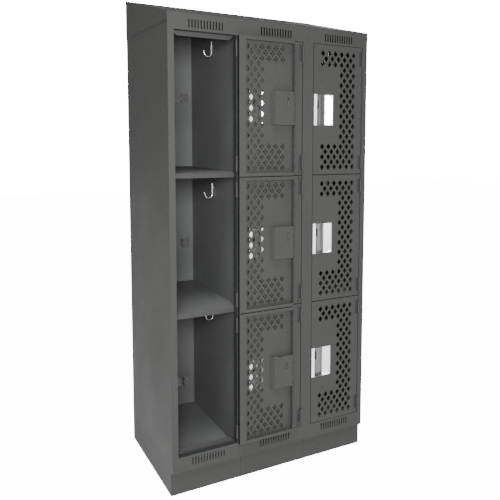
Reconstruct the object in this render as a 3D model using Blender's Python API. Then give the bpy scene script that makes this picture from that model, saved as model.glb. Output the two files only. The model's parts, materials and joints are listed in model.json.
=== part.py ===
"""Ventilated locker cabinet: three columns of three lockers on a closed base, under a sloping hood.

Metres, +Z up. X runs along the front, the front faces -Y, and the origin is on the floor in the middle
of the cabinet's footprint. The left column's doors stand fully open, folded flat over the middle column.
"""

import math

import bmesh
import bpy
from mathutils import Matrix, Vector

COLUMNS = ("left", "middle", "right")
TIERS = ("bottom", "middle", "top")

# Driving sizes
COLUMN_WIDTH = 0.3048
BODY_DEPTH = 0.6096
BODY_HEIGHT = 1.8288
BASE_HEIGHT = 0.1016
HOOD_RISE = 0.1365

# Sheet and clearances
SHEET = 0.0015
FIT = 0.0003
WELD_LAP = 0.0002
OVERCUT = 0.002
MERGE_DISTANCE = 0.00002

# Front frames
JAMB = 0.0254
RAIL = 0.065
FRAME_RETURN = 0.032
STOP_LIP = 0.019
VENT_COUNT = 12
VENT_PITCH = 0.0123
VENT_WIDTH = 0.005
VENT_HEIGHT = 0.032
VENT_FROM_OPENING = 0.010

# Doors
DOOR_SIDE_GAP = 0.0025
DOOR_END_GAP = 0.0015
DOOR_DEPTH = 0.022
DOOR_END_LIP = 0.014
DOOR_HINGE_LIP = 0.030

# Hinges
PIN_FORWARD = 0.004
KNUCKLE_RADIUS = 0.0036
PIN_RADIUS = 0.0018
BORE_RADIUS = 0.0022
KNUCKLES = 5
HINGE_HEIGHT = 0.0635
HINGE_FROM_END = 0.020
LEAF_WIDTH = 0.0155
LEAF_LAP = 0.003
LEAF_SETBACK = 0.001
ARM_WIDTH = 0.0018
ROUND_SIDES = 8

# Recessed handle cups
CUP_SHEET = 0.0012
CUP_HEIGHT = 0.134
CUP_FROM_EDGE = 0.003
CUP_STRIP = 0.0135
CUP_FLOOR_WIDTH = 0.0505
CUP_SLANT_WIDTH = 0.032
CUP_DEPTH = 0.020
CUP_FLANGE = 0.006
SLOT_FROM_EDGE = 0.028
SLOT_WIDTH = 0.015
SLOT_HEIGHT = 0.042
SLOT_ABOVE_CENTRE = 0.025

# Strikes with their padlock staples
STRIKE_SHEET = 0.002
STRIKE_REACH = 0.060
STRIKE_HEIGHT = 0.037
STRIKE_BEHIND_DOOR = 0.0015
STRIKE_FLANGE = 0.025
STAPLE_THICKNESS = 0.003
STAPLE_HEIGHT = 0.030
STAPLE_FORWARD = 0.016
STAPLE_RIM = 0.003
EYE_HEIGHT = 0.014

# Inside
SHELF_ABOVE_GAP = 0.015
SHELF_LIP = 0.0195
FLOOR_PAN_HEIGHT = 0.016
HOOK_WIRE = 0.005
HOOK_BELOW_BAY_TOP = 0.050
HOOK_FROM_FRONT = 0.330
HOOK_SHANK = 0.050
HOOK_BEND_RADIUS = 0.016
HOOK_TIP = 0.016
HOOK_TIP_SPREAD = 0.35
HOOK_ARC_STEPS = 6
HOOK_WIRE_ROUNDING = 2
HOOK_PLATE_WIDTH = 0.020
HOOK_PLATE_MARGIN = 0.006
HOOK_PLATE_SHEET = 0.0015

# Base and hood
BASE_RECESS = 0.022
BASE_FLANGE = 0.030
GABLE_LAP = 0.033

# Places worked out from the sizes above
WIDTH = COLUMN_WIDTH * len(COLUMNS)
OPEN_DOOR_REACH = 2 * PIN_FORWARD + DOOR_DEPTH
FRONT = (OPEN_DOOR_REACH - BODY_DEPTH) / 2
BACK = FRONT + BODY_DEPTH
BODY_TOP = BASE_HEIGHT + BODY_HEIGHT
OPENING_LOW = BASE_HEIGHT + RAIL
OPENING_HIGH = BODY_TOP - RAIL
OPENING_WIDTH = COLUMN_WIDTH - 2 * JAMB
TIER_PITCH = (OPENING_HIGH - OPENING_LOW) / len(TIERS)
DOOR_WIDTH = OPENING_WIDTH - 2 * DOOR_SIDE_GAP
DOOR_HEIGHT = TIER_PITCH - 2 * DOOR_END_GAP
CUP_WIDTH = CUP_STRIP + CUP_SHEET + CUP_FLOOR_WIDTH + CUP_SLANT_WIDTH
INSIDE_FRONT = FRONT + FRAME_RETURN + FIT
INSIDE_BACK = BACK - SHEET - FIT
WALL_INSET = SHEET + FIT
KNUCKLE_HEIGHT = HINGE_HEIGHT / KNUCKLES
CLOSED_DOOR_BACK = max(DOOR_DEPTH, CUP_DEPTH + CUP_SHEET)
TOP_UNDERSIDE = BODY_TOP - FIT - SHEET

PAINT = ("grey_paint", (0.108, 0.108, 0.102), 0.45, 0.0)
STAINLESS = ("stainless_steel", (0.62, 0.62, 0.61), 0.25, 1.0)
ZINC = ("zinc_plate", (0.30, 0.31, 0.31), 0.40, 1.0)
CHROME = ("bright_chrome", (0.75, 0.75, 0.76), 0.12, 1.0)


def clear_scene():
    for obj in list(bpy.data.objects):
        bpy.data.objects.remove(obj, do_unlink=True)


def material(name, colour, roughness, metallic):
    made = bpy.data.materials.get(name)
    if made:
        return made
    made = bpy.data.materials.new(name)
    made.use_nodes = True
    shader = made.node_tree.nodes["Principled BSDF"]
    shader.inputs["Base Color"].default_value = (*colour, 1.0)
    shader.inputs["Roughness"].default_value = roughness
    shader.inputs["Metallic"].default_value = metallic
    return made


def box(shape, low, high):
    """Adds a box between two corners to a bmesh."""
    low = Vector(low)
    high = Vector(high)
    size = Matrix.Diagonal((*(high - low), 1.0))
    bmesh.ops.create_cube(shape, size=1.0, matrix=Matrix.Translation((low + high) / 2) @ size)


def round_bar(shape, centre, radius, low, high):
    """Adds an upright bar around a point in plan."""
    place = Matrix.Translation((centre[0], centre[1], (low + high) / 2))
    turn = Matrix.Rotation(math.pi / ROUND_SIDES, 4, "Z")
    bmesh.ops.create_cone(
        shape, cap_ends=True, segments=ROUND_SIDES, radius1=radius, radius2=radius,
        depth=high - low, matrix=place @ turn,
    )


def prism(shape, outline, along):
    """Adds a flat outline, given as points in space, drawn out along a vector."""
    corners = [shape.verts.new(point) for point in outline]
    sheet = shape.faces.new(corners)
    drawn = bmesh.ops.extrude_face_region(shape, geom=[sheet])
    moved = [part for part in drawn["geom"] if isinstance(part, bmesh.types.BMVert)]
    bmesh.ops.translate(shape, verts=moved, vec=Vector(along))
    bmesh.ops.recalc_face_normals(shape, faces=shape.faces)


def mesh_of(shape, name):
    made = bpy.data.meshes.new(name)
    shape.to_mesh(made)
    shape.free()
    return made


def combined(name, first, operation, add_shapes):
    """The mesh left after a Boolean of a mesh with the shapes that a function draws."""
    tool_shape = bmesh.new()
    add_shapes(tool_shape)
    tool = bpy.data.objects.new(name + "_tool", mesh_of(tool_shape, name + "_tool"))
    work = bpy.data.objects.new(name + "_work", first)
    for obj in (tool, work):
        bpy.context.scene.collection.objects.link(obj)
    step = work.modifiers.new(operation, "BOOLEAN")
    step.operation = operation
    step.solver = "EXACT"
    step.use_self = True
    step.object = tool
    graph = bpy.context.evaluated_depsgraph_get()
    made = bpy.data.meshes.new_from_object(work.evaluated_get(graph))
    made.name = name
    for obj in (tool, work):
        bpy.data.objects.remove(obj, do_unlink=True)
    return made


def drawn(name, add_shapes):
    shape = bmesh.new()
    add_shapes(shape)
    return mesh_of(shape, name)


def place(name, mesh, finish, at=(0, 0, 0), turn=0.0):
    obj = bpy.data.objects.new(name, mesh)
    obj.location = at
    obj.rotation_euler = (0, 0, turn)
    if not mesh.materials:
        mesh.materials.append(material(*finish))
    bpy.context.scene.collection.objects.link(obj)
    return obj


def column_left(column):
    return -WIDTH / 2 + column * COLUMN_WIDTH


def tier_low(tier):
    return OPENING_LOW + tier * TIER_PITCH


# Walls, floor, top and shelves


def side_panel_mesh():
    def panel(shape):
        box(shape, (0, FRONT + WALL_INSET, BASE_HEIGHT), (SHEET, BACK, BODY_TOP))

    return drawn("side_panel", panel)


def divider_mesh():
    low = BASE_HEIGHT + FLOOR_PAN_HEIGHT + FIT
    high = TOP_UNDERSIDE - FIT

    def panel(shape):
        box(shape, (-SHEET / 2, FRONT + WALL_INSET, low), (SHEET / 2, INSIDE_BACK, high))

    return drawn("divider", panel)


def back_panel_mesh():
    half = WIDTH / 2 - WALL_INSET

    def panel(shape):
        box(shape, (-half, BACK - SHEET, BASE_HEIGHT), (half, BACK, BODY_TOP))

    return drawn("back_panel", panel)


def top_panel_mesh():
    half = WIDTH / 2 - WALL_INSET
    top = TOP_UNDERSIDE + SHEET

    def panel(shape):
        box(shape, (-half, INSIDE_FRONT, TOP_UNDERSIDE), (half, INSIDE_BACK, top))

    return drawn("top_panel", panel)


def pan_mesh(name, half_width, low, high):
    """A tray turned upside down, open below, with its edges folded down."""

    def block(shape):
        box(shape, (-half_width, INSIDE_FRONT, low), (half_width, INSIDE_BACK, high))

    def pocket(shape):
        box(
            shape,
            (-half_width + SHEET, INSIDE_FRONT + SHEET, low - OVERCUT),
            (half_width - SHEET, INSIDE_BACK - SHEET, high - SHEET),
        )

    return combined(name, drawn(name, block), "DIFFERENCE", pocket)


def add_walls():
    side = side_panel_mesh()
    place("side_panel_left", side, PAINT, (-WIDTH / 2, 0, 0))
    place("side_panel_right", side, PAINT, (WIDTH / 2 - SHEET, 0, 0))
    divider = divider_mesh()
    for column in range(1, len(COLUMNS)):
        name = f"divider_{COLUMNS[column - 1]}_{COLUMNS[column]}"
        place(name, divider, PAINT, (column_left(column), 0, 0))
    place("back_panel", back_panel_mesh(), PAINT)
    place("top_panel", top_panel_mesh(), PAINT)
    floor_top = BASE_HEIGHT + FLOOR_PAN_HEIGHT
    floor = pan_mesh("floor_panel", WIDTH / 2 - WALL_INSET, BASE_HEIGHT, floor_top)
    place("floor_panel", floor, PAINT)
    half = COLUMN_WIDTH / 2 - WALL_INSET
    shelf = pan_mesh("shelf", half, SHELF_ABOVE_GAP - SHELF_LIP, SHELF_ABOVE_GAP)
    for column, side_name in enumerate(COLUMNS):
        for tier in range(1, len(TIERS)):
            level = "lower" if tier == 1 else "upper"
            at = (column_left(column) + COLUMN_WIDTH / 2, 0, tier_low(tier))
            place(f"shelf_{side_name}_{level}", shelf, PAINT, at)


# Hinges. A hinge's own origin is on its pin axis at the foot of the lowest knuckle.


def hinge_feet():
    """Heights of each door's two hinges above the door's lower edge."""
    return (HINGE_FROM_END, DOOR_HEIGHT - HINGE_FROM_END - HINGE_HEIGHT)


def knuckle_span(foot, index):
    """Lowest and highest points of one knuckle, with a running gap at each end."""
    low = foot + index * KNUCKLE_HEIGHT
    return low + FIT / 2, low + KNUCKLE_HEIGHT - FIT / 2


def frame_knuckles(shape, axis, foot):
    """The outer and middle knuckles, their arms onto the jamb, and the pin through all of them."""
    face_depth = PIN_FORWARD + SHEET - WELD_LAP
    for index in range(0, KNUCKLES, 2):
        low, high = knuckle_span(foot, index)
        round_bar(shape, axis, KNUCKLE_RADIUS, low, high)
        arm_low = (axis[0] + DOOR_SIDE_GAP / 2 + WELD_LAP, axis[1], low)
        arm_high = (arm_low[0] + ARM_WIDTH, axis[1] + face_depth, high)
        box(shape, arm_low, arm_high)
    pin_low = knuckle_span(foot, 0)[0] + WELD_LAP
    pin_high = knuckle_span(foot, KNUCKLES - 1)[1] - WELD_LAP
    round_bar(shape, axis, PIN_RADIUS, pin_low, pin_high)


def door_knuckles(shape, foot):
    """The two knuckles between them, with their arms onto the door's hinge leaf."""
    for index in range(1, KNUCKLES, 2):
        low, high = knuckle_span(foot, index)
        round_bar(shape, (0, 0), KNUCKLE_RADIUS, low, high)
        edge = -(DOOR_SIDE_GAP / 2 + WELD_LAP)
        depth = PIN_FORWARD + LEAF_SETBACK + SHEET - WELD_LAP
        box(shape, (edge - ARM_WIDTH, 0, low), (edge, depth, high))


# Front frames, one for each column. Their origin is the column's middle, at the face, on the base.


def frame_mesh():
    half = COLUMN_WIDTH / 2
    flange_half = half - WALL_INSET
    opening_half = OPENING_WIDTH / 2
    low = RAIL
    high = BODY_HEIGHT - RAIL

    def flanges(shape):
        box(shape, (-flange_half, 0, 0), (flange_half, FRAME_RETURN, BODY_HEIGHT - FIT))

    def pocket(shape):
        box(
            shape,
            (-flange_half + SHEET, SHEET, SHEET),
            (flange_half - SHEET, FRAME_RETURN + OVERCUT, BODY_HEIGHT - FIT - SHEET),
        )

    def face_and_reveal(shape):
        box(shape, (-half + FIT / 2, 0, 0), (half - FIT / 2, SHEET, BODY_HEIGHT - FIT))
        box(
            shape,
            (-opening_half - SHEET, WELD_LAP, low - SHEET),
            (opening_half + SHEET, FRAME_RETURN, high + SHEET),
        )

    def opening_and_vents(shape):
        box(shape, (-opening_half, -OVERCUT, low), (opening_half, FRAME_RETURN + OVERCUT, high))
        first = -VENT_PITCH * (VENT_COUNT - 1) / 2
        for index in range(VENT_COUNT):
            left = first + index * VENT_PITCH - VENT_WIDTH / 2
            for bottom in (low - VENT_FROM_OPENING - VENT_HEIGHT, high + VENT_FROM_OPENING):
                box(
                    shape,
                    (left, -OVERCUT, bottom),
                    (left + VENT_WIDTH, SHEET + OVERCUT, bottom + VENT_HEIGHT),
                )

    def stops_and_hinges(shape):
        back = FRAME_RETURN - SHEET
        for edge, inward in ((low, 1), (high, -1)):
            root = edge - inward * SHEET / 2
            tip = edge + inward * STOP_LIP
            outline = (
                (-opening_half, back, root),
                (opening_half, back, root),
                (opening_half, back, edge),
                (opening_half - STOP_LIP, back, tip),
                (-opening_half + STOP_LIP, back, tip),
                (-opening_half, back, edge),
            )
            prism(shape, outline, (0, SHEET, 0))
        axis = (half - JAMB - DOOR_SIDE_GAP / 2, -PIN_FORWARD)
        for tier in range(len(TIERS)):
            for foot in hinge_feet():
                door_foot = low + tier * TIER_PITCH + DOOR_END_GAP
                frame_knuckles(shape, axis, door_foot + foot)

    made = combined("front_frame", drawn("front_frame", flanges), "DIFFERENCE", pocket)
    made = combined("front_frame", made, "UNION", face_and_reveal)
    made = combined("front_frame", made, "DIFFERENCE", opening_and_vents)
    return combined("front_frame", made, "UNION", stops_and_hinges)


def add_frames():
    frame = frame_mesh()
    for column, name in enumerate(COLUMNS):
        at = (column_left(column) + COLUMN_WIDTH / 2, FRONT, BASE_HEIGHT)
        place(f"front_frame_{name}", frame, PAINT, at)


# Doors. A door's origin is on its hinge pins' axis, level with its lower edge, and the closed door
# reaches towards -X from there. Distances "from the edge" run from the latch edge towards the hinges.

HINGE_EDGE = -DOOR_SIDE_GAP / 2
LATCH_EDGE = HINGE_EDGE - DOOR_WIDTH
DOOR_FACE = PIN_FORWARD
DOOR_BACK = DOOR_FACE + DOOR_DEPTH
CUP_LOW = (DOOR_HEIGHT - CUP_HEIGHT) / 2
CUP_HIGH = CUP_LOW + CUP_HEIGHT


def door_mesh():
    def block(shape):
        box(shape, (LATCH_EDGE, DOOR_FACE, 0), (HINGE_EDGE, DOOR_BACK, DOOR_HEIGHT))

    def hollow(shape):
        box(
            shape,
            (LATCH_EDGE + SHEET, DOOR_FACE + SHEET, SHEET),
            (HINGE_EDGE - SHEET, DOOR_BACK - SHEET, DOOR_HEIGHT - SHEET),
        )

    def openings(shape):
        box(
            shape,
            (LATCH_EDGE + SHEET, DOOR_BACK - SHEET - OVERCUT, DOOR_END_LIP),
            (HINGE_EDGE - DOOR_HINGE_LIP, DOOR_BACK + OVERCUT, DOOR_HEIGHT - DOOR_END_LIP),
        )
        left = LATCH_EDGE + CUP_FROM_EDGE
        box(
            shape,
            (left - FIT, DOOR_FACE - OVERCUT, CUP_LOW - FIT),
            (left + CUP_WIDTH + FIT, DOOR_FACE + SHEET + OVERCUT, CUP_HIGH + FIT),
        )
        for foot in hinge_feet():
            box(
                shape,
                (HINGE_EDGE - LEAF_WIDTH, DOOR_FACE - OVERCUT, foot),
                (HINGE_EDGE + OVERCUT, DOOR_FACE + SHEET + OVERCUT, foot + HINGE_HEIGHT),
            )

    def leaves(shape):
        for foot in hinge_feet():
            face = DOOR_FACE + LEAF_SETBACK
            box(
                shape,
                (HINGE_EDGE - LEAF_WIDTH - LEAF_LAP, face, foot - LEAF_LAP),
                (HINGE_EDGE - WELD_LAP, face + SHEET, foot + HINGE_HEIGHT + LEAF_LAP),
            )
            door_knuckles(shape, foot)

    def bores(shape):
        for foot in hinge_feet():
            low = foot - OVERCUT
            round_bar(shape, (0, 0), BORE_RADIUS, low, foot + HINGE_HEIGHT + OVERCUT)

    made = combined("door_panel", drawn("door_panel", block), "DIFFERENCE", hollow)
    made = combined("door_panel", made, "DIFFERENCE", openings)
    made = combined("door_panel", made, "UNION", leaves)
    return combined("door_panel", made, "DIFFERENCE", bores)


def cup_mesh():
    """A pressed tray: a strip at the latch side, a step back to its floor, and a slanted pull face."""
    left = LATCH_EDGE + CUP_FROM_EDGE
    right = left + CUP_WIDTH
    step = left + CUP_STRIP
    floor_end = step + CUP_SHEET + CUP_FLOOR_WIDTH
    floor_back = DOOR_FACE + CUP_DEPTH + CUP_SHEET
    slope = CUP_SLANT_WIDTH / CUP_DEPTH

    def block(shape):
        outline = (
            (left, DOOR_FACE, CUP_LOW),
            (right, DOOR_FACE, CUP_LOW),
            (right, DOOR_FACE + CUP_SHEET, CUP_LOW),
            (floor_end + CUP_SHEET / 2, floor_back, CUP_LOW),
            (step, floor_back, CUP_LOW),
            (step, DOOR_FACE + CUP_SHEET, CUP_LOW),
            (left, DOOR_FACE + CUP_SHEET, CUP_LOW),
        )
        prism(shape, outline, (0, 0, CUP_HEIGHT))

    def flange(shape):
        flange_face = DOOR_FACE + SHEET + FIT
        box(
            shape,
            (left + WELD_LAP, flange_face, CUP_LOW - CUP_FLANGE),
            (right + CUP_FLANGE, flange_face + CUP_SHEET, CUP_HIGH + CUP_FLANGE),
        )
        box(
            shape,
            (left + WELD_LAP, DOOR_FACE + WELD_LAP, CUP_LOW + WELD_LAP),
            (right - WELD_LAP, flange_face + WELD_LAP, CUP_HIGH - WELD_LAP),
        )

    def hollow(shape):
        mouth = DOOR_FACE - OVERCUT
        floor_face = DOOR_FACE + CUP_DEPTH
        mouth_end = floor_end + slope * (CUP_DEPTH + OVERCUT) - CUP_SHEET
        outline = (
            (step + CUP_SHEET, mouth, CUP_LOW + CUP_SHEET),
            (mouth_end, mouth, CUP_LOW + CUP_SHEET),
            (floor_end - CUP_SHEET, floor_face, CUP_LOW + CUP_SHEET),
            (step + CUP_SHEET, floor_face, CUP_LOW + CUP_SHEET),
        )
        prism(shape, outline, (0, 0, CUP_HEIGHT - 2 * CUP_SHEET))

    def slot(shape):
        middle = LATCH_EDGE + SLOT_FROM_EDGE
        centre = DOOR_HEIGHT / 2 + SLOT_ABOVE_CENTRE
        box(
            shape,
            (middle - SLOT_WIDTH / 2, floor_back - CUP_SHEET - OVERCUT, centre - SLOT_HEIGHT / 2),
            (middle + SLOT_WIDTH / 2, floor_back + OVERCUT, centre + SLOT_HEIGHT / 2),
        )

    made = combined("handle_cup", drawn("handle_cup", block), "UNION", flange)
    made = combined("handle_cup", made, "DIFFERENCE", hollow)
    return combined("handle_cup", made, "DIFFERENCE", slot)


def add_doors():
    door = door_mesh()
    cup = cup_mesh()
    for column, side_name in enumerate(COLUMNS):
        turn = math.pi if side_name == "left" else 0.0
        pin_x = column_left(column) + COLUMN_WIDTH - JAMB - DOOR_SIDE_GAP / 2
        for tier, level in enumerate(TIERS):
            at = (pin_x, FRONT - PIN_FORWARD, tier_low(tier) + DOOR_END_GAP)
            place(f"door_panel_{side_name}_{level}", door, PAINT, at, turn)
            place(f"handle_cup_{side_name}_{level}", cup, STAINLESS, at, turn)


# Strikes and hooks inside each locker


def strike_mesh():
    """A bracket on the latch jamb, with a padlock staple that stands forward through the cup's slot.

    Its origin is on the jamb's inner face, level with the cabinet's face and the staple's middle.
    """
    face = CLOSED_DOOR_BACK + STRIKE_BEHIND_DOOR
    half = STRIKE_HEIGHT / 2
    middle = DOOR_SIDE_GAP + SLOT_FROM_EDGE
    staple_face = CLOSED_DOOR_BACK - STAPLE_FORWARD

    def plates(shape):
        box(shape, (FIT, face, -half), (STRIKE_REACH, face + STRIKE_SHEET, half))

    def flange(shape):
        box(shape, (FIT, face, -half), (FIT + STRIKE_SHEET, face + STRIKE_FLANGE, half))
        box(
            shape,
            (middle - STAPLE_THICKNESS / 2, staple_face, -STAPLE_HEIGHT / 2),
            (middle + STAPLE_THICKNESS / 2, face + STRIKE_SHEET / 2, STAPLE_HEIGHT / 2),
        )

    def eye(shape):
        box(
            shape,
            (middle - STAPLE_THICKNESS, staple_face + STAPLE_RIM, -EYE_HEIGHT / 2),
            (middle + STAPLE_THICKNESS, CLOSED_DOOR_BACK - STAPLE_RIM, EYE_HEIGHT / 2),
        )

    made = combined("strike", drawn("strike", plates), "UNION", flange)
    return combined("strike", made, "DIFFERENCE", eye)


def hook_wire():
    """A round wire that hangs down and bends back up towards the left, as a mesh."""
    points = [(0, 0, 0), (0, 0, -HOOK_SHANK)]
    last = math.pi - HOOK_TIP_SPREAD
    for step in range(1, HOOK_ARC_STEPS + 1):
        angle = last * step / HOOK_ARC_STEPS
        across = -HOOK_BEND_RADIUS * (1 - math.cos(angle))
        points.append((across, 0, -HOOK_SHANK - HOOK_BEND_RADIUS * math.sin(angle)))
    end = points[-1]
    rise = math.cos(HOOK_TIP_SPREAD) * HOOK_TIP
    points.append((end[0] - math.sin(HOOK_TIP_SPREAD) * HOOK_TIP, 0, end[2] + rise))
    curve = bpy.data.curves.new("coat_hook_wire", "CURVE")
    curve.dimensions = "3D"
    curve.bevel_depth = HOOK_WIRE / 2
    curve.bevel_resolution = HOOK_WIRE_ROUNDING
    curve.use_fill_caps = True
    line = curve.splines.new("POLY")
    line.points.add(len(points) - 1)
    for slot, point in zip(line.points, points):
        slot.co = (*point, 1.0)
    work = bpy.data.objects.new("coat_hook_wire", curve)
    bpy.context.scene.collection.objects.link(work)
    graph = bpy.context.evaluated_depsgraph_get()
    made = bpy.data.meshes.new_from_object(work.evaluated_get(graph))
    bpy.data.objects.remove(work, do_unlink=True)
    weld = bmesh.new()
    weld.from_mesh(made)
    bmesh.ops.remove_doubles(weld, verts=weld.verts, dist=MERGE_DISTANCE)
    weld.to_mesh(made)
    weld.free()
    return made


def hook_mesh():
    """A wall hook: the wire welded to a small plate. Its origin is the top of the wire."""
    plate_face = HOOK_WIRE / 2 - WELD_LAP

    def plate(shape):
        box(
            shape,
            (plate_face, -HOOK_PLATE_WIDTH / 2, -HOOK_SHANK),
            (plate_face + HOOK_PLATE_SHEET, HOOK_PLATE_WIDTH / 2, HOOK_PLATE_MARGIN),
        )

    return combined("coat_hook", hook_wire(), "UNION", plate)


def add_fittings():
    strike = strike_mesh()
    hook = hook_mesh()
    hook_inset = HOOK_WIRE / 2 - WELD_LAP + HOOK_PLATE_SHEET + FIT
    for column, side_name in enumerate(COLUMNS):
        left = column_left(column)
        last = column == len(COLUMNS) - 1
        wall = left + COLUMN_WIDTH - (SHEET if last else SHEET / 2)
        for tier, level in enumerate(TIERS):
            staple_height = tier_low(tier) + TIER_PITCH / 2 + SLOT_ABOVE_CENTRE
            place(f"strike_{side_name}_{level}", strike, ZINC, (left + JAMB, FRONT, staple_height))
            bay_top = BODY_TOP if level == TIERS[-1] else tier_low(tier + 1)
            at = (wall - hook_inset, FRONT + HOOK_FROM_FRONT, bay_top - HOOK_BELOW_BAY_TOP)
            place(f"coat_hook_{side_name}_{level}", hook, CHROME, at)


# Base and hood


def base_front_mesh():
    """One column's length of the base's front, folded back above and below."""
    face = FRONT + BASE_RECESS
    top = BASE_HEIGHT - FIT
    half = COLUMN_WIDTH / 2 - WALL_INSET

    def block(shape):
        box(shape, (-half, face, 0), (half, face + BASE_FLANGE, top))

    def pocket(shape):
        box(
            shape,
            (-half - OVERCUT, face + SHEET, SHEET),
            (half + OVERCUT, face + BASE_FLANGE + OVERCUT, top - SHEET),
        )

    return combined("base_front", drawn("base_front", block), "DIFFERENCE", pocket)


def base_side_mesh(name, inward):
    """A side of the base, folded inwards above and below behind the base's front."""
    face = FRONT + BASE_RECESS
    flange_start = face + BASE_FLANGE + FIT
    top = BASE_HEIGHT - FIT

    def web(shape):
        low_x, high_x = sorted((0, inward * SHEET))
        box(shape, (low_x, face, 0), (high_x, BACK, top))

    def flanges(shape):
        low_x, high_x = sorted((inward * SHEET / 2, inward * BASE_FLANGE))
        box(shape, (low_x, flange_start, 0), (high_x, BACK, SHEET))
        box(shape, (low_x, flange_start, top - SHEET), (high_x, BACK, top))

    return combined(name, drawn(name, web), "UNION", flanges)


def hood_slope_mesh():
    """The hood's bent sheet: the slope, and its fold down the back."""
    foot = BODY_TOP + FIT
    peak = BODY_TOP + HOOD_RISE
    fall = (peak - foot - SHEET) / BODY_DEPTH
    half = WIDTH / 2

    def sheet(shape):
        outline = (
            (-half, FRONT, foot),
            (-half, FRONT, foot + SHEET),
            (-half, BACK, peak),
            (-half, BACK, foot),
            (-half, BACK - SHEET, foot),
            (-half, BACK - SHEET, peak - SHEET - fall * SHEET),
            (-half, FRONT + SHEET, foot + fall * SHEET),
            (-half, FRONT + SHEET, foot),
        )
        prism(shape, outline, (WIDTH, 0, 0))

    return drawn("hood_slope", sheet)


def hood_gable_mesh():
    """A hood end, which laps down over the side panel."""

    def plate(shape):
        outline = (
            (0, FRONT, BODY_TOP - GABLE_LAP),
            (0, BACK, BODY_TOP - GABLE_LAP),
            (0, BACK, BODY_TOP + HOOD_RISE),
            (0, FRONT, BODY_TOP + FIT + SHEET),
        )
        prism(shape, outline, (SHEET, 0, 0))

    return drawn("hood_gable", plate)


def add_base_and_hood():
    front = base_front_mesh()
    for column, name in enumerate(COLUMNS):
        at = (column_left(column) + COLUMN_WIDTH / 2, 0, 0)
        place(f"base_front_{name}", front, PAINT, at)
    for name, inward in (("left", 1), ("right", -1)):
        mesh = base_side_mesh(f"base_side_{name}", inward)
        place(f"base_side_{name}", mesh, PAINT, (-inward * WIDTH / 2, 0, 0))
    place("hood_slope", hood_slope_mesh(), PAINT)
    gable = hood_gable_mesh()
    place("hood_gable_left", gable, PAINT, (-WIDTH / 2 - FIT - SHEET, 0, 0))
    place("hood_gable_right", gable, PAINT, (WIDTH / 2 + FIT, 0, 0))


def main():
    clear_scene()
    add_walls()
    add_frames()
    add_doors()
    add_fittings()
    add_base_and_hood()


main()
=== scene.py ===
"""Ventilated steel locker cabinet: three columns of three lockers under a sloping top.

The left column's doors are folded right back. Sizes are in metres and radians.
"""

import json
import math

import bmesh
import bpy
from mathutils import Matrix, Vector


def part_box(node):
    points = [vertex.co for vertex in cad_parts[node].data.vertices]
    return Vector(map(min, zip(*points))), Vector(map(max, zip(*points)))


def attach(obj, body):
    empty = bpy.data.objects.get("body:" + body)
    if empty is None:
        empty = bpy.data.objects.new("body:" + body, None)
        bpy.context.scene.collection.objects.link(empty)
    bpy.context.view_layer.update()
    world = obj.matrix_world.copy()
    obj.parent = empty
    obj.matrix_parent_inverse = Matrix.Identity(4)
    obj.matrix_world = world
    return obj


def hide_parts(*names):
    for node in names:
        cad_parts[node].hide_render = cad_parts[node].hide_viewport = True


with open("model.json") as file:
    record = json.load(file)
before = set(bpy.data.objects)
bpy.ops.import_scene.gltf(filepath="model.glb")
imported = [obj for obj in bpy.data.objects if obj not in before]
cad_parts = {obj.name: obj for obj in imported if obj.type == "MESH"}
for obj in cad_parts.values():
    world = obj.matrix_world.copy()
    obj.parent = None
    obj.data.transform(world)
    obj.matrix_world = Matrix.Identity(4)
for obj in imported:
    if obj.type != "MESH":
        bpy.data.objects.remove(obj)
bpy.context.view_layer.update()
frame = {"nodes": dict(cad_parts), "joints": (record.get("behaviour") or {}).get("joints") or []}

# Doors and their gaps
COLUMNS = ("left", "middle", "right")
TIERS = ("bottom", "middle", "top")
SHEET = 0.0015
DOOR_SIDE_GAP = 0.0025
DOOR_WIDTH = 0.249
DOOR_HEIGHT = 0.563267
DOOR_DEPTH = 0.022
DOOR_BEND = 0.0011
PIN_FORWARD = 0.004
HINGE_EDGE = -DOOR_SIDE_GAP / 2
LATCH_EDGE = HINGE_EDGE - DOOR_WIDTH
DOOR_FACE = PIN_FORWARD
DOOR_BACK = DOOR_FACE + DOOR_DEPTH

# Diamond perforations
DIAMOND_WIDTH = 0.0208
DIAMOND_HEIGHT = 0.0280
DIAMOND_PITCH = 0.0318
DIAMOND_FIRST = 0.0455
DIAMOND_ROWS = 23
DIAMOND_ROW_PITCH = 0.0224
DIAMOND_FROM_TOP = 0.0380
WIDE_ROWS_ABOVE = 3
WIDE_ROWS_BELOW = 5
FULL_ROW = 6
NARROW_ROW_STARTS_AT = 3
CARD_HOLES = (0.0390, 0.0865)
CARD_HOLES_FROM_TOP = 0.158
CARD_HOLE_RADIUS = 0.0016

# Hinges
KNUCKLE_RADIUS = 0.0039
KNUCKLES = 5
HINGE_HEIGHT = 0.0635
HINGE_FROM_END = 0.020
LEAF_WIDTH = 0.0155
LEAF_SETBACK = 0.001
LEAF_SHEET = 0.0007
RUNNING_GAP = 0.0003

# Handle cups
CUP_SHEET = 0.0010
CUP_HEIGHT = 0.134
CUP_WIDTH = 0.0972
CUP_FROM_EDGE = 0.003
CUP_STRIP = 0.0145
CUP_STEP = 0.0022
CUP_RIM = 0.0008
CUP_END_WALL = 0.0025
CUP_FLOOR_END = 0.0652
CUP_SLANT_END = CUP_WIDTH - 0.0025
CUP_DEPTH = 0.0195
SLOT_FROM_EDGE = 0.0285
SLOT_WIDTH = 0.0175
SLOT_HEIGHT = 0.042
SLOT_ABOVE_CENTRE = 0.025
COVER_SLOT_WIDTH = 0.0065
COVER_SLOT_HEIGHT = 0.034

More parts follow.
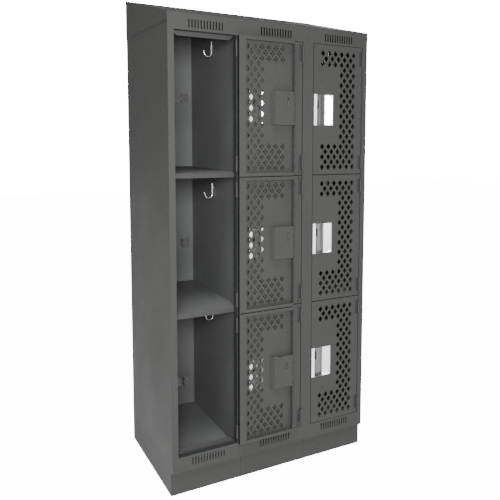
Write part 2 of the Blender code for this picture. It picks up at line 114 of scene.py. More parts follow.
# Small parts
BASE_SEAM = 0.0036
BASE_SEAM_FILL = 0.0015
BUMPER_RADIUS = 0.0052
BUMPER_HEIGHT = 0.0032
BUMPER_FROM_HINGE = 0.0125
BUMPER_FROM_END = 0.012
RIVET_RADIUS = 0.0034
RIVET_HEIGHT = 0.0011
RIVET_FROM_EDGE = 0.028
RIVET_FROM_BASE = 0.020
RIVET_FROM_TOP = 0.055
HOOK_WIRE = 0.0050
HOOK_SHANK = 0.050
HOOK_BEND = 0.016
HOOK_TIP = 0.016
HOOK_TIP_SPREAD = 0.35
HOOK_SIDES = 14
HOOK_STEPS = 20
HOOK_PLATE_SINK = 0.0002
HOOK_PLATE_TOP = 0.006
HOOK_PLATE_WIDTH = 0.020

# Paint
PAINT_SHEEN = 0.22

# Camera, in the cabinet's frame
CAMERA_AT = (-1.19498, -2.68105, 1.46627)
CAMERA_YAW = 0.5561
CAMERA_DOWN = 0.0966
CAMERA_ROLL = 0.0128
CAMERA_LENS = 45.450
CAMERA_SHIFT = (-0.16833, -0.10400)

# Studio light
SKY = 0.30
BACKDROP = 22.0
FRONT_LIGHT_AT = (-1.30, -3.10, 1.75)
FRONT_LIGHT_AIM = (0.0, 0.0, 1.0)
FRONT_LIGHT_SIZE = 0.9
FRONT_LIGHT = 172.0
TOP_LIGHT_FROM = (-1.0, -2.2, 5.5)
TOP_LIGHT = 2.8
SIDE_LIGHT_FROM = (-5.0, -0.4, 1.0)
SIDE_LIGHT = 0.25
BACK_LIGHT_FROM = (4.0, 4.2, 1.6)
BACK_LIGHT = 0.55
FLOOR_GLOW = 14.0
FLOOR_REACH = 14.0

MERGE = 0.00002
FLAT = math.radians(0.5)
SHARP = math.radians(30)


# Finishes


class Shade:
    """A value inside a material, which can be reckoned with like a number."""

    def __init__(self, tree, socket):
        self.tree = tree
        self.socket = socket

    def reckon(self, operation, first, second):
        node = self.tree.nodes.new("ShaderNodeMath")
        node.operation = operation
        for slot, value in zip(node.inputs, (first, second)):
            feed(self.tree, slot, value)
        return Shade(self.tree, node.outputs[0])

    def __add__(self, other):
        return self.reckon("ADD", self, other)

    def __radd__(self, other):
        return self.reckon("ADD", other, self)

    def __mul__(self, other):
        return self.reckon("MULTIPLY", self, other)

    def __rmul__(self, other):
        return self.reckon("MULTIPLY", other, self)


def feed(tree, slot, value):
    """Joins a shade to a socket, or sets the socket to a plain value."""
    if isinstance(value, Shade):
        tree.links.new(value.socket, slot)
    else:
        slot.default_value = value


class Finish:
    """A material being made from procedural patterns in the object's own coordinates."""

    def __init__(self, name):
        self.material = bpy.data.materials.new(name)
        self.material.use_nodes = True
        self.tree = self.material.node_tree
        self.shader = self.tree.nodes["Principled BSDF"]
        place = self.tree.nodes.new("ShaderNodeTexCoord")
        self.place = Shade(self.tree, place.outputs["Object"])

    def node(self, kind, settings, inputs, output=0):
        node = self.tree.nodes.new(kind)
        for key, value in settings.items():
            setattr(node, key, value)
        for key, value in inputs.items():
            feed(self.tree, node.inputs[key], value)
        return Shade(self.tree, node.outputs[output])

    def stretched(self, scale):
        return self.node("ShaderNodeMapping", {}, {"Vector": self.place, "Scale": scale})

    def noise(self, scale, detail=3.0, roughness=0.5, stretch=(1.0, 1.0, 1.0)):
        inputs = {"Vector": self.stretched(stretch), "Scale": scale}
        inputs.update({"Detail": detail, "Roughness": roughness})
        return self.node("ShaderNodeTexNoise", {}, inputs)

    def cells(self, scale, output):
        return self.node("ShaderNodeTexVoronoi", {}, {"Vector": self.place, "Scale": scale}, output)

    def between(self, amount, low, high):
        """A colour between two, by an amount from 0 to 1."""
        return self.node(
            "ShaderNodeMix", {"data_type": "RGBA"},
            {0: amount, 6: (*low, 1.0), 7: (*high, 1.0)}, 2,
        )

    def spread(self, value, low, high):
        """Stretches the middle of a pattern to the whole range from 0 to 1."""
        return self.node(
            "ShaderNodeMapRange", {},
            {"Value": value, "From Min": low, "From Max": high},
        )

    def bump(self, height, distance, strength=1.0):
        inputs = {"Height": height, "Distance": distance, "Strength": strength}
        return self.node("ShaderNodeBump", {}, inputs)

    def set(self, **values):
        for key, value in values.items():
            feed(self.tree, self.shader.inputs[key.replace("_", " ")], value)
        return self


def scaled(colour, factor):
    return tuple(part * factor for part in colour)


def powder_coat(name, colour, gloss=0.44):
    """Oven-baked powder paint: a fine orange peel, a little uneven in tone and sheen."""
    finish = Finish(name)
    cloud = finish.spread(finish.noise(2.3, 4.0), 0.32, 0.68)
    grain = finish.spread(finish.noise(420.0, 2.0), 0.3, 0.7)
    tone = finish.between(cloud * 0.75 + grain * 0.25, scaled(colour, 0.94), scaled(colour, 1.06))
    peel = finish.noise(650.0, 2.0, 0.55) + 0.35 * finish.noise(1900.0, 1.0)
    finish.set(
        Base_Color=tone,
        Roughness=gloss + 0.10 * cloud + 0.05 * grain,
        Specular_IOR_Level=PAINT_SHEEN,
        Normal=finish.bump(peel, 0.00006, 0.8),
    )
    return finish.material


def brushed_steel(name, colour, gloss, streak=0.35, metal=1.0):
    """Stainless steel brushed up and down."""
    finish = Finish(name)
    lines = finish.noise(900.0, 3.0, 0.6, (1.0, 1.0, 0.02))
    bands = finish.spread(finish.noise(70.0, 2.0, 0.5, (1.0, 1.0, 0.01)), 0.35, 0.65)
    tone = finish.between(bands, scaled(colour, 1.0 - streak), colour)
    finish.set(
        Base_Color=tone,
        Metallic=metal,
        Roughness=gloss + 0.10 * lines,
        Normal=finish.bump(lines, 0.00003, 0.5),
    )
    return finish.material


def zinc_plate(name, colour):
    """Dull zinc with its frosty grain."""
    finish = Finish(name)
    flake = finish.cells(260.0, 0)
    cloud = finish.noise(45.0, 3.0)
    finish.set(
        Base_Color=finish.between(flake * 8.0 * cloud, scaled(colour, 0.8), scaled(colour, 1.1)),
        Metallic=1.0,
        Roughness=0.38 + 0.15 * cloud,
        Normal=finish.bump(cloud, 0.00005, 0.4),
    )
    return finish.material


def bright_chrome(name):
    finish = Finish(name)
    haze = finish.noise(120.0, 3.0)
    finish.set(
        Base_Color=finish.between(haze, (0.78, 0.79, 0.80), (0.90, 0.90, 0.91)),
        Metallic=1.0,
        Roughness=0.26 + 0.08 * haze,
        Normal=finish.bump(haze, 0.00002, 0.2),
    )
    return finish.material


def black_rubber(name):
    finish = Finish(name)
    grain = finish.noise(1400.0, 3.0)
    finish.set(
        Base_Color=finish.between(grain, (0.006, 0.006, 0.006), (0.016, 0.016, 0.015)),
        Roughness=0.68 + 0.18 * grain,
        Normal=finish.bump(grain, 0.00008, 0.6),
    )
    return finish.material


def studio_floor(name):
    """A pale floor that looks as bright as the backdrop, but lights the cabinet only by what it reflects."""
    finish = Finish(name)
    grain = finish.noise(14.0, 4.0)
    seen = finish.node("ShaderNodeLightPath", {}, {})
    finish.set(
        Base_Color=finish.between(grain, (0.80, 0.80, 0.80), (0.83, 0.83, 0.83)),
        Roughness=0.75 + 0.1 * grain,
        Emission_Color=finish.between(seen, (0.0, 0.0, 0.0), (1.0, 1.0, 1.0)),
        Emission_Strength=FLOOR_GLOW,
    )
    return finish.material


PAINT = powder_coat("grey_powder_coat", (0.040, 0.040, 0.0384))
# Paler copy of the outside paint for inside the bays: painted light that brightens the bays
INSIDE_FILL_LIGHT_PAINT = powder_coat("inside_coat_painted_fill_light", (0.092, 0.0965, 0.094), 0.5)
# Dark greenish copy of the paint: painted shade for the hinge leaves' recess and the frames' folded edges
RECESS_SHADE_PAINT = powder_coat("painted_recess_shade", (0.022, 0.0255, 0.025), 0.5)
# Near-black copy of the paint: painted shade for the door sides and the gaps round the doors
GAP_SHADE_PAINT = powder_coat("painted_gap_shade", (0.010, 0.0105, 0.0102), 0.6)
BRIGHT_STEEL = brushed_steel("brushed_stainless", (0.93, 0.93, 0.92), 0.24, 0.06)
# Darker copy of the stainless for the cup's floor: painted shade of the pocket
CUP_FLOOR_SHADE_STEEL = brushed_steel("brushed_stainless_shaded", (0.42, 0.42, 0.42), 0.34, 0.6)
# Near-white, barely metallic copy of the stainless for the cup's strip: a painted highlight in place of its
# reflection
STRIP_HIGHLIGHT_STEEL = brushed_steel("stainless_painted_highlight", (0.95, 0.95, 0.94), 0.35, 0.04, 0.1)
ZINC = zinc_plate("zinc_plating", (0.05, 0.05, 0.049))
CHROME = bright_chrome("hook_chrome_plate")
RUBBER = black_rubber("bumper_black_rubber")


# Mesh work


def mesh_from(shape, name):
    made = bpy.data.meshes.new(name)
    shape.to_mesh(made)
    shape.free()
    return made


def merged_copy(node):
    """A node's mesh with its corners merged and its flat faces joined up."""
    shape = bmesh.new()
    shape.from_mesh(frame["nodes"][node].data)
    bmesh.ops.remove_doubles(shape, verts=shape.verts, dist=MERGE)
    bmesh.ops.dissolve_limit(
        shape, angle_limit=FLAT, verts=shape.verts, edges=shape.edges, delimit=set()
    )
    bmesh.ops.recalc_face_normals(shape, faces=shape.faces)
    return shape


def round_edges(shape, edges, offset, segments=2):
    if edges:
        bmesh.ops.bevel(
            shape, geom=edges, offset=offset, offset_type="OFFSET", segments=segments, profile=0.5,
            affect="EDGES", clamp_overlap=True, material=-1,
        )


def sharp_edges(shape):
    return [e for e in shape.edges if len(e.link_faces) == 2 and e.calc_face_angle(0.0) > SHARP]


def cut_with(shape, cutters):
    """The shape with the cutters taken away, as a new bmesh. Both are used up."""
    work = bpy.data.objects.new("work", mesh_from(shape, "work"))
    tool = bpy.data.objects.new("tool", mesh_from(cutters, "tool"))
    for obj in (work, tool):
        bpy.context.scene.collection.objects.link(obj)
    step = work.modifiers.new("cut", "BOOLEAN")
    step.operation = "DIFFERENCE"
    step.solver = "EXACT"
    step.object = tool
    graph = bpy.context.evaluated_depsgraph_get()
    mesh = bpy.data.meshes.new_from_object(work.evaluated_get(graph))
    for obj in (work, tool):
        bpy.data.objects.remove(obj, do_unlink=True)
    made = bmesh.new()
    made.from_mesh(mesh)
    bpy.data.meshes.remove(mesh)
    return made


def prism(shape, outline, along):
    """Adds a flat outline drawn out along a vector, and gives back its faces."""
    known = set(shape.faces)
    sheet = shape.faces.new([shape.verts.new(point) for point in outline])
    drawn = bmesh.ops.extrude_face_region(shape, geom=[sheet])
    moved = [part for part in drawn["geom"] if isinstance(part, bmesh.types.BMVert)]
    bmesh.ops.translate(shape, verts=moved, vec=Vector(along))
    made = [face for face in shape.faces if face not in known]
    bmesh.ops.recalc_face_normals(shape, faces=made)
    return made


def plate(shape, low, high, edge=0.0):
    """Adds a flat bar between two corners, with its edges eased."""
    front = low[1]
    corners = ((low[0], low[2]), (high[0], low[2]), (high[0], high[2]), (low[0], high[2]))
    outline = [(x, front, z) for x, z in corners]
    faces = prism(shape, outline, (0, high[1] - front, 0))
    if edge:
        round_edges(shape, list({e for face in faces for e in face.edges}), edge)


def rounded_slot(shape, centre_x, centre_z, width, height, low_y, high_y, steps=10):
    """Adds a bar with half-round ends, drawn out from front to back."""
    radius = width / 2
    straight = height / 2 - radius
    outline = []
    for side, first in ((1, 0.0), (-1, math.pi)):
        for step in range(steps + 1):
            angle = first + math.pi * step / steps
            x = centre_x + radius * math.cos(angle)
            z = centre_z + side * straight + radius * math.sin(angle)
            outline.append((x, low_y, z))
    prism(shape, outline, (0, high_y - low_y, 0))


def turned(shape, profile, place, steps=24):
    """Adds a profile of (radius, height) points spun once round its own axis and put in place."""
    part = bmesh.new()
    points = [part.verts.new((radius, 0.0, height)) for radius, height in profile]
    edges = [part.edges.new(pair) for pair in zip(points, points[1:])]
    bmesh.ops.spin(
        part, geom=points + edges, cent=(0, 0, 0), axis=(0, 0, 1), dvec=(0, 0, 0),
        angle=2 * math.pi, steps=steps, use_merge=True, use_duplicate=False,
    )
    bmesh.ops.remove_doubles(part, verts=part.verts, dist=MERGE / 4)
    bmesh.ops.recalc_face_normals(part, faces=part.faces)
    bmesh.ops.transform(part, matrix=place, verts=part.verts)
    spun = mesh_from(part, "turned")
    shape.from_mesh(spun)
    bpy.data.meshes.remove(spun)


def drawn_on(shape, edges, along):
    """Draws a row or a ring of edges out by one step, and gives back the new row."""
    made = bmesh.ops.extrude_edge_only(shape, edges=edges)["geom"]
    moved = {part for part in made if isinstance(part, bmesh.types.BMVert)}
    bmesh.ops.translate(shape, verts=list(moved), vec=along)
    return [part for part in made if isinstance(part, bmesh.types.BMEdge) and moved.issuperset(part.verts)]


def piece(name, mesh, body, finishes, smooth=0.0, replaces=(), slot=None):
    made = bpy.data.objects.new(name, mesh)
    bpy.context.scene.collection.objects.link(made)
    for finish in finishes:
        mesh.materials.append(finish)
    if smooth:
        mesh.polygons.foreach_set("use_smooth", [True] * len(mesh.polygons))
        mesh.set_sharp_from_angle(angle=math.radians(smooth))
    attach(made, body)
    if replaces:
        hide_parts(*replaces)
    return made


def moved_mesh(mesh, matrix, name):
    made = mesh.copy()
    made.name = name
    made.transform(matrix)
    return made


# Doors, in a door's own frame: the pin's axis is upright at the origin, level with the lower edge


def door_place(column, tier):
    """Takes a door's own frame to the cabinet's."""
    joint = next(j for j in frame["joints"] if j["name"] == f"hinge_{column}_{tier}")
    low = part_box(f"door_panel_{column}_{tier}")[0]
    turn = math.pi if column == "left" else 0.0
    return Matrix.Translation((joint["pos_m"][0], joint["pos_m"][1], low.z)) @ Matrix.Rotation(turn, 4, "Z")


def hinge_feet():
    return (HINGE_FROM_END, DOOR_HEIGHT - HINGE_FROM_END - HINGE_HEIGHT)


def diamond_centres():
    """Centres of the perforations from the latch edge and the door's top."""
    for row in range(DIAMOND_ROWS):
        wide = row < WIDE_ROWS_ABOVE or row >= DIAMOND_ROWS - WIDE_ROWS_BELOW
        half_step = row % 2
        for column in range(FULL_ROW - half_step):
            if wide or column >= NARROW_ROW_STARTS_AT:
                across = DIAMOND_FIRST + (column + half_step / 2) * DIAMOND_PITCH
                yield across, DIAMOND_FROM_TOP + row * DIAMOND_ROW_PITCH


def door_panel_mesh():
    shape = merged_copy("door_panel_right_top")
    bmesh.ops.transform(shape, matrix=door_place("right", "top").inverted(), verts=shape.verts)
    cutters = bmesh.new()
    front = DOOR_FACE - SHEET
    for across, down in diamond_centres():
        x = LATCH_EDGE + across
        z = DOOR_HEIGHT - down
        outline = (
            (x - DIAMOND_WIDTH / 2, front, z),
            (x, front, z - DIAMOND_HEIGHT / 2),
            (x + DIAMOND_WIDTH / 2, front, z),
            (x, front, z + DIAMOND_HEIGHT / 2),
        )
        prism(cutters, outline, (0, 3 * SHEET, 0))
    for across in CARD_HOLES:
        size = 2 * CARD_HOLE_RADIUS
        centre = DOOR_HEIGHT - CARD_HOLES_FROM_TOP
        rounded_slot(cutters, LATCH_EDGE + across, centre, size, size * 1.01, front, front + 3 * SHEET, 6)
    shape = cut_with(shape, cutters)
    bmesh.ops.dissolve_limit(
        shape, angle_limit=FLAT, verts=shape.verts, edges=shape.edges, delimit=set()
    )
    round_edges(shape, [e for e in shape.edges if on_door_rim(e)], DOOR_BEND, 3)
    # The door's four outer sides take the near-black paint: painted shade, so the gaps round the door read
    # dark
    for face in shape.faces:
        middle = face.calc_center_median()
        outside = at_any(middle.x, (LATCH_EDGE, HINGE_EDGE)) or at_any(middle.z, (0.0, DOOR_HEIGHT))
        face.material_index = 1 if outside and abs(face.normal.y) < 0.1 else 0
    return mesh_from(shape, "door_panel")


def at_any(value, limits):
    return any(abs(value - limit) < MERGE for limit in limits)


def on_door_rim(edge):
    """Whether an edge lies where two of the door's outer sides meet."""
    sides = ((0, LATCH_EDGE), (0, HINGE_EDGE), (1, DOOR_FACE), (1, DOOR_BACK), (2, 0.0), (2, DOOR_HEIGHT))
    return sum(all(at_any(v.co[axis], (limit,)) for v in edge.verts) for axis, limit in sides) >= 2


def eased(t):
    t = min(1.0, max(0.0, t))
    return t * t * (3 - 2 * t)


def cup_depth_at(across):
    """How deep the pressed tray is, from 0 to 1, at a distance from its latch side."""
    if across < CUP_STRIP:
        return 0.0
    if across < CUP_FLOOR_END:
        return eased((across - CUP_STRIP) / CUP_STEP)
    return max(0.0, 1.0 - (across - CUP_FLOOR_END) / (CUP_SLANT_END - CUP_FLOOR_END))


def even_steps(first, last, count):
    return [first + (last - first) * k / count for k in range(1, count + 1)]


def cup_mesh():
    """A pressed tray: a strip at the latch side, a step back to its floor, and a slanted pull face."""
    left = LATCH_EDGE + CUP_FROM_EDGE
    low = (DOOR_HEIGHT - CUP_HEIGHT) / 2
    across = [0.0, 0.0012, 0.006, CUP_STRIP]
    across += even_steps(CUP_STRIP, CUP_STRIP + CUP_STEP, 6)
    across += even_steps(CUP_STRIP + CUP_STEP, CUP_FLOOR_END, 8)
    across += even_steps(CUP_FLOOR_END, CUP_SLANT_END, 8)
    across += [CUP_WIDTH - 0.0012, CUP_WIDTH]
    end = [0.0, CUP_RIM] + even_steps(CUP_RIM, CUP_RIM + CUP_END_WALL, 6)
    up = end + even_steps(end[-1], CUP_HEIGHT - end[-1], 12)[:-1] + [CUP_HEIGHT - z for z in reversed(end)]
    shape = bmesh.new()
    points = [shape.verts.new((left + x, DOOR_FACE, low)) for x in across]
    row = [shape.edges.new(pair) for pair in zip(points, points[1:])]
    for below, above in zip(up, up[1:]):
        row = drawn_on(shape, row, (0, 0, above - below))
    for v in shape.verts:
        from_end = min(v.co.z - low, low + CUP_HEIGHT - v.co.z)
        v.co.y += CUP_DEPTH * cup_depth_at(v.co.x - left) * eased((from_end - CUP_RIM) / CUP_END_WALL)
    bmesh.ops.recalc_face_normals(shape, faces=shape.faces)
    front = list(shape.faces)
    if sum(f.normal.y * f.calc_area() for f in front) > 0:
        bmesh.ops.reverse_faces(shape, faces=front)
    made = bmesh.ops.extrude_face_region(shape, geom=front, use_keep_orig=True)
    behind = [part for part in made["geom"] if isinstance(part, bmesh.types.BMVert)]
    bmesh.ops.translate(shape, verts=behind, vec=(0, CUP_SHEET, 0))
    bmesh.ops.recalc_face_normals(shape, faces=shape.faces)
    cutters = bmesh.new()
    slot_height = DOOR_HEIGHT / 2 + SLOT_ABOVE_CENTRE
    rounded_slot(
        cutters, LATCH_EDGE + SLOT_FROM_EDGE, slot_height, SLOT_WIDTH, SLOT_HEIGHT,
        DOOR_FACE + CUP_DEPTH - 0.004, DOOR_BACK + 0.004,
    )
    shape = cut_with(shape, cutters)
    shape.normal_update()
    for face in shape.faces:
        across = face.calc_center_median().x - left
        if face.normal.y > 0.2:
            face.material_index = 2
        # The strip takes the near-white steel: a painted highlight
        elif across < CUP_STRIP + CUP_STEP / 3:
            face.material_index = 3
        # The floor takes the darker steel: painted shade
        elif across < CUP_FLOOR_END:
            face.material_index = 1
        else:
            face.material_index = 0
    return mesh_from(shape, "handle_cup")


def cup_cover_mesh():
    """The painted plate that boxes the cup in on the inside of the door."""
    low = (DOOR_HEIGHT - CUP_HEIGHT) / 2 - 0.002
    high = low + CUP_HEIGHT + 0.004
    left = LATCH_EDGE + SHEET + 0.0002
    back = DOOR_BACK - 0.0001
    front = DOOR_FACE + CUP_DEPTH + CUP_SHEET + 0.0002
    end = LATCH_EDGE + CUP_FROM_EDGE + CUP_FLOOR_END + 0.032
    bend = end - 0.012
    face = DOOR_FACE + SHEET + CUP_SHEET + 0.0002
    shape = bmesh.new()
    outline = (
        (left, back, low), (bend, back, low), (end, face + 0.0007, low), (end, face, low),
        (bend - 0.0004, front, low), (left, front, low),
    )
    prism(shape, outline, (0, 0, high - low))
    for z in (low, high - 0.0008):
        wall = (
            (left, face, z), (end, face, z), (bend, front, z), (left, front, z),
        )
        prism(shape, wall, (0, 0, 0.0008))
    cutters = bmesh.new()
    rounded_slot(
        cutters, LATCH_EDGE + SLOT_FROM_EDGE, DOOR_HEIGHT / 2 + SLOT_ABOVE_CENTRE, COVER_SLOT_WIDTH,
        COVER_SLOT_HEIGHT, front - 0.004, back + 0.004,
    )
    shape = cut_with(shape, cutters)
    shape.normal_update()
    # The cover's faces towards the cup take the near-black paint: painted shade inside the door
    for face in shape.faces:
        face.material_index = 1 if face.normal.y < -0.3 else 0
    return mesh_from(shape, "cup_cover")


def leaf_mesh():
    """The visible leaves of a door's two hinges, each held by three rivets."""
    shape = bmesh.new()
    face = DOOR_FACE + LEAF_SETBACK
    for foot in hinge_feet():
        low = (HINGE_EDGE - LEAF_WIDTH + 0.0005, face - LEAF_SHEET, foot + 0.0004)
        high = (HINGE_EDGE - 0.0003, face + 0.0002, foot + HINGE_HEIGHT - 0.0004)
        plate(shape, low, high, 0.0002)
        for share in (0.18, 0.5, 0.82):
            at = (HINGE_EDGE - LEAF_WIDTH / 2 - 0.001, face - LEAF_SHEET, foot + HINGE_HEIGHT * share)
            turned(shape, rivet_profile(0.0021, 0.0006), facing(at, (0, -1, 0)), 12)
    return mesh_from(shape, "hinge_leaves")


def barrel_profile(height):
    ease = 0.0006
    r = KNUCKLE_RADIUS
    return (
        (0.0, 0.0), (r - ease, 0.0), (r - ease * 0.3, ease * 0.3), (r, ease),
        (r, height - ease), (r - ease * 0.3, height - ease * 0.3), (r - ease, height), (0.0, height),
    )


def barrels(shape, foot, indices, axis=(0.0, 0.0)):
    step = HINGE_HEIGHT / KNUCKLES
    for index in indices:
        low = foot + index * step + RUNNING_GAP / 2
        turned(shape, barrel_profile(step - RUNNING_GAP), Matrix.Translation((axis[0], axis[1], low)), 20)


def rivet_profile(radius, height):
    return tuple(
        (radius * math.sin(angle), height * math.cos(angle))
        for angle in (0.0, 0.35, 0.7, 1.05, 1.35, math.pi / 2)
    )


def facing(at, direction):
    """Puts something made upright, along +Z, at a place and facing a direction."""
    return Matrix.Translation(at) @ Vector(direction).to_track_quat("Z", "Y").to_matrix().to_4x4()


def bumper_mesh():
    shape = bmesh.new()
    r = BUMPER_RADIUS
    h = BUMPER_HEIGHT
    profile = ((0.0, h), (r * 0.55, h), (r * 0.85, h * 0.85), (r * 0.97, h * 0.6), (r, 0.0))
    for z in (BUMPER_FROM_END, DOOR_HEIGHT - BUMPER_FROM_END):
        at = (HINGE_EDGE - BUMPER_FROM_HINGE, DOOR_FACE, z)
        turned(shape, profile, facing(at, (0, -1, 0)), 20)
    return mesh_from(shape, "bumpers")


def add_doors():
    panel = door_panel_mesh()
    cup = cup_mesh()
    cover = cup_cover_mesh()
    leaf = leaf_mesh()
    bumper = bumper_mesh()
    knuckles = bmesh.new()
    for foot in hinge_feet():
        barrels(knuckles, foot, range(1, KNUCKLES, 2))
    knuckles = mesh_from(knuckles, "door_knuckles")
    for column in COLUMNS:
        for tier in TIERS:
            place = door_place(column, tier)
            body = f"door_{column}_{tier}"
            end = f"{column}_{tier}"

            def put(kind, mesh, finishes, **more):
                name = f"{kind}_{end}"
                piece(name, moved_mesh(mesh, place, name), body, finishes, **more)

            put(
                "perforated_door", panel, (PAINT, GAP_SHADE_PAINT),
                replaces=(f"door_panel_{end}",), slot="cabinet_paint",
            )
            put(
                "pressed_cup", cup, (BRIGHT_STEEL, CUP_FLOOR_SHADE_STEEL, PAINT, STRIP_HIGHLIGHT_STEEL), smooth=35,
                replaces=(f"handle_cup_{end}",), slot="handle_stainless",
            )
            put("cup_cover", cover, (PAINT, GAP_SHADE_PAINT), slot="cabinet_paint")
            # The leaves take the dark paint: painted shade of the recess at the door's hinge edge
            put("hinge_leaves", leaf, (RECESS_SHADE_PAINT,), smooth=35, slot="cabinet_paint")
            put("hinge_knuckles", knuckles, (PAINT,), smooth=35, slot="cabinet_paint")
            if column == "middle":
                put("door_bumpers", bumper, (RUBBER,), smooth=40)


# The fixed cabinet


def add_sheet(node, finishes, second=None, shape=None, ease=0.0004, slot="cabinet_paint"):
    """Stands for a sheet-metal node, with its cut edges eased. Faces that second picks take finish two."""
    shape = shape or merged_copy(node)
    if ease:
        round_edges(shape, sharp_edges(shape), ease)
    shape.normal_update()
    for face in shape.faces:
        face.material_index = int(bool(second and second(face)))
    piece(f"{node}_sheet", mesh_from(shape, node), "cabinet", finishes, replaces=(node,), slot=slot)


def add_cabinet():
    for node in ("side_panel_left", "side_panel_right", "base_side_left", "base_side_right"):
        add_sheet(node, (PAINT,))
    for node in ("hood_slope", "hood_gable_left", "hood_gable_right"):
        add_sheet(node, (PAINT,))
    for column in COLUMNS:
        add_base_front(column)
        add_shelf(f"shelf_{column}_lower")
        add_shelf(f"shelf_{column}_upper")
        add_front_frame(column)
        for tier in TIERS:
            add_sheet(f"strike_{column}_{tier}", (ZINC,), ease=0.0003, slot="strike_zinc")
    # Inside parts take the paler paint: painted light in the bays
    for node in ("floor_panel", "top_panel", "divider_left_middle", "divider_middle_right"):
        add_sheet(node, (INSIDE_FILL_LIGHT_PAINT,))
    add_sheet("back_panel", (INSIDE_FILL_LIGHT_PAINT, PAINT), lambda face: face.normal.y > 0.3)


def add_shelf(node):
    """A folded shelf, with its front lip painted as the outside is; the rest takes the paler inside paint,
    which is painted light.
    """
    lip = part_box(node)[0].y + SHEET
    add_sheet(
        node, (INSIDE_FILL_LIGHT_PAINT, PAINT),
        lambda face: face.calc_center_median().y < lip and face.normal.y < -0.3,
    )


def add_front_frame(column):
    """A front frame, with painted shade on its folded edges inside the door openings."""
    node = f"front_frame_{column}"
    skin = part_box(node)[0].y + 2 * PIN_FORWARD + 2 * SHEET
    add_sheet(
        node, (PAINT, RECESS_SHADE_PAINT),
        lambda face: face.calc_center_median().y > skin and abs(face.normal.y) < 0.5, ease=0.0,
    )


def add_base_front(column):
    """A base front drawn out at both ends until it all but meets its neighbours."""
    node = f"base_front_{column}"
    shape = merged_copy(node)
    low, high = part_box(node)
    for v in shape.verts:
        if v.co.x < low.x + MERGE:
            v.co.x -= BASE_SEAM_FILL
        elif v.co.x > high.x - MERGE:
            v.co.x += BASE_SEAM_FILL
    add_sheet(node, (PAINT,), shape=shape)


def add_frame_knuckles():
    for column in COLUMNS:
        shape = bmesh.new()
        for tier in TIERS:
            place = door_place(column, tier).translation
            for foot in hinge_feet():
                barrels(shape, place.z + foot, range(0, KNUCKLES, 2), (place.x, place.y))
        name = f"frame_knuckles_{column}"
        piece(name, mesh_from(shape, name), "cabinet", (PAINT,), smooth=35, slot="cabinet_paint")


def hook_mesh():
    """A round wire bent into a J, with a domed end, and its screwed wall plate."""
    shape = bmesh.new()
    radius = HOOK_WIRE / 2
    made = bmesh.ops.create_circle(shape, cap_ends=False, segments=HOOK_SIDES, radius=radius)
    ring = list({edge for v in made["verts"] for edge in v.link_edges})
    for half in range(2):
        ring = drawn_on(shape, ring, (0, 0, -HOOK_SHANK / 2))
    bent = bmesh.ops.spin(
        shape, geom=ring + ring_points(ring), cent=(-HOOK_BEND, 0, -HOOK_SHANK), axis=(0, 1, 0),
        dvec=(0, 0, 0), angle=math.pi - HOOK_TIP_SPREAD, steps=HOOK_STEPS, use_merge=False,
        use_duplicate=False,
    )
    ring = [part for part in bent["geom_last"] if isinstance(part, bmesh.types.BMEdge)]
    along = Vector((-math.sin(HOOK_TIP_SPREAD), 0, math.cos(HOOK_TIP_SPREAD)))
    ring = drawn_on(shape, ring, HOOK_TIP * along)
    dome_into(shape, ring, radius, along)
    bmesh.ops.holes_fill(shape, edges=[edge for edge in shape.edges if edge.is_boundary])
    wall = radius - HOOK_PLATE_SINK
    half = HOOK_PLATE_WIDTH / 2
    bottom = -HOOK_SHANK
    top = HOOK_PLATE_TOP
    outline = [(wall, y, z) for y, z in ((-half, bottom), (half, bottom), (half, top), (-half, top))]
    faces = prism(shape, outline, (SHEET, 0, 0))
    round_edges(shape, list({e for face in faces for e in face.edges}), 0.0004)
    bmesh.ops.recalc_face_normals(shape, faces=shape.faces)
    # The wall plate takes the paler inside paint, painted light, as the walls do
    for face in shape.faces:
        face.material_index = 1 if face.calc_center_median().x > wall - 0.00005 else 0
    for side in (-1, 1):
        at = (wall, side * 0.0062, -HOOK_SHANK * 0.42)
        turned(shape, rivet_profile(0.0026, 0.0012), facing(at, (-1, 0, 0)), 16)
    return mesh_from(shape, "coat_hook")


def ring_points(ring):
    return list({v for edge in ring for v in edge.verts})


def dome_into(shape, ring, radius, along, steps=3):
    """Rounds off the end of a wire in a few shrinking rings."""
    reached = 0.0
    size = 1.0
    for step in range(1, steps + 1):
        reach = step / steps * math.pi / 2
        ring = drawn_on(shape, ring, radius * (math.sin(reach) - reached) * along)
        reached = math.sin(reach)
        wanted = max(math.cos(reach), 0.05)
        points = ring_points(ring)
        centre = sum((v.co for v in points), Vector()) / len(points)
        bmesh.ops.scale(shape, vec=[wanted / size] * 3, space=Matrix.Translation(-centre), verts=points)
        size = wanted


def add_hooks():
    hook = hook_mesh()
    for column in COLUMNS:
        for tier in TIERS:
            node = f"coat_hook_{column}_{tier}"
            low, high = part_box(node)
            x = high.x - SHEET - (HOOK_WIRE / 2 - HOOK_PLATE_SINK)
            at = Matrix.Translation((x, (low.y + high.y) / 2, high.z - HOOK_PLATE_TOP))
            name = f"wall_hook_{column}_{tier}"
            piece(
                name, moved_mesh(hook, at, name), "cabinet", (CHROME, INSIDE_FILL_LIGHT_PAINT), smooth=40,
                replaces=(node,), slot="hook_chrome",
            )


def add_base_splices():
    """Plates behind the seams between the base's fronts."""
    shape = bmesh.new()
    for column in COLUMNS[1:]:
        low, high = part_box(f"base_front_{column}")
        seam = low.x - BASE_SEAM / 2
        web = low.y + SHEET + 0.0003
        corner = (seam - 0.018, web, low.z + 0.003)
        plate(shape, corner, (seam + 0.018, web + 0.0012, high.z - 0.003), 0.0003)
    piece("base_splices", mesh_from(shape, "base_splices"), "cabinet", (PAINT,), slot="cabinet_paint")


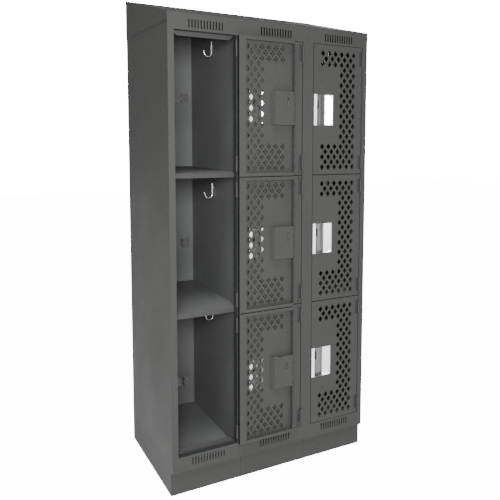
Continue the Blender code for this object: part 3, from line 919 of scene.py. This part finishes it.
def add_rivets():
    """Blind rivets that hold the sides to the frames, the shelves, the base and the hood."""
    shape = bmesh.new()
    dome = rivet_profile(RIVET_RADIUS, RIVET_HEIGHT)
    for side, way in (("left", -1), ("right", 1)):
        low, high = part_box(f"side_panel_{side}")
        gable, gable_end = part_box(f"hood_gable_{side}")
        panel_x, gable_x = (low.x, gable.x) if way < 0 else (high.x, gable_end.x)
        front = low.y + RIVET_FROM_EDGE
        back = high.y - RIVET_FROM_EDGE
        bottom = low.z + RIVET_FROM_BASE
        rise = high.z - RIVET_FROM_TOP - bottom
        spots = [(panel_x, y, bottom + rise * k / 7) for k in range(8) for y in (front, back)]
        for level in ("lower", "upper"):
            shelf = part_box(f"shelf_left_{level}")[1].z - 0.010
            spots += [(panel_x, front + (back - front) * share, shelf) for share in (0.25, 0.5, 0.75)]
        for share in (0.06, 0.35, 0.65, 0.94):
            spots.append((gable_x, gable.y + (back - gable.y) * share, gable.z + 0.014))
        for spot in spots:
            turned(shape, dome, facing(spot, (way, 0, 0)), 16)
    mesh = mesh_from(shape, "side_rivets")
    piece("side_rivets", mesh, "cabinet", (PAINT,), smooth=40, slot="cabinet_paint")


# Camera, light and floor


def add_camera():
    yaw, down, roll = CAMERA_YAW, CAMERA_DOWN, CAMERA_ROLL
    forward = Vector((math.sin(yaw) * math.cos(down), math.cos(yaw) * math.cos(down), -math.sin(down)))
    right = Vector((math.cos(yaw), -math.sin(yaw), 0))
    up = right.cross(forward)
    across = math.cos(roll) * right + math.sin(roll) * up
    upright = -math.sin(roll) * right + math.cos(roll) * up
    turn = Matrix((across, upright, -forward)).transposed().to_4x4()
    camera = bpy.data.objects.new("camera", bpy.data.cameras.new("camera"))
    camera.matrix_world = Matrix.Translation(CAMERA_AT) @ turn
    camera.data.lens = CAMERA_LENS
    camera.data.sensor_width = 36.0
    camera.data.shift_x, camera.data.shift_y = CAMERA_SHIFT
    camera.data.clip_end = 100.0
    camera.data.dof.use_dof = False
    bpy.context.scene.collection.objects.link(camera)
    bpy.context.scene.camera = camera


def add_sun(name, at, spread, power):
    """A far soft light that shines from one side of the cabinet onto it."""
    lamp = bpy.data.lights.new(name, "SUN")
    lamp.angle = math.radians(spread)
    lamp.energy = power
    made = bpy.data.objects.new(name, lamp)
    made.matrix_world = facing(at, at)
    bpy.context.scene.collection.objects.link(made)


def add_panel_light(name, at, aim, size, power):
    lamp = bpy.data.lights.new(name, "AREA")
    lamp.shape = "DISK"
    lamp.size = size
    lamp.energy = power
    made = bpy.data.objects.new(name, lamp)
    made.matrix_world = facing(at, Vector(at) - Vector(aim))
    bpy.context.scene.collection.objects.link(made)


def add_studio():
    shape = bmesh.new()
    bmesh.ops.create_grid(shape, x_segments=1, y_segments=1, size=FLOOR_REACH)
    floor = bpy.data.objects.new("studio_floor", mesh_from(shape, "studio_floor"))
    floor.data.materials.append(studio_floor("pale_floor"))
    bpy.context.scene.collection.objects.link(floor)
    world = bpy.data.worlds.new("studio")
    bpy.context.scene.world = world
    world.use_nodes = True
    sky = world.node_tree.nodes["Background"]
    sky.inputs["Color"].default_value = (1.0, 1.0, 1.0, 1.0)
    ray = world.node_tree.nodes.new("ShaderNodeLightPath")
    seen = Shade(world.node_tree, ray.outputs["Is Camera Ray"])
    feed(world.node_tree, sky.inputs["Strength"], SKY + seen * (BACKDROP - SKY))
    add_panel_light("front_light", FRONT_LIGHT_AT, FRONT_LIGHT_AIM, FRONT_LIGHT_SIZE, FRONT_LIGHT)
    add_sun("top_light", TOP_LIGHT_FROM, 25.0, TOP_LIGHT)
    add_sun("side_light", SIDE_LIGHT_FROM, 25.0, SIDE_LIGHT)
    add_sun("back_light", BACK_LIGHT_FROM, 25.0, BACK_LIGHT)


def main():
    add_camera()
    add_studio()
    add_cabinet()
    add_doors()
    add_frame_knuckles()
    add_hooks()
    add_base_splices()
    add_rivets()


main()
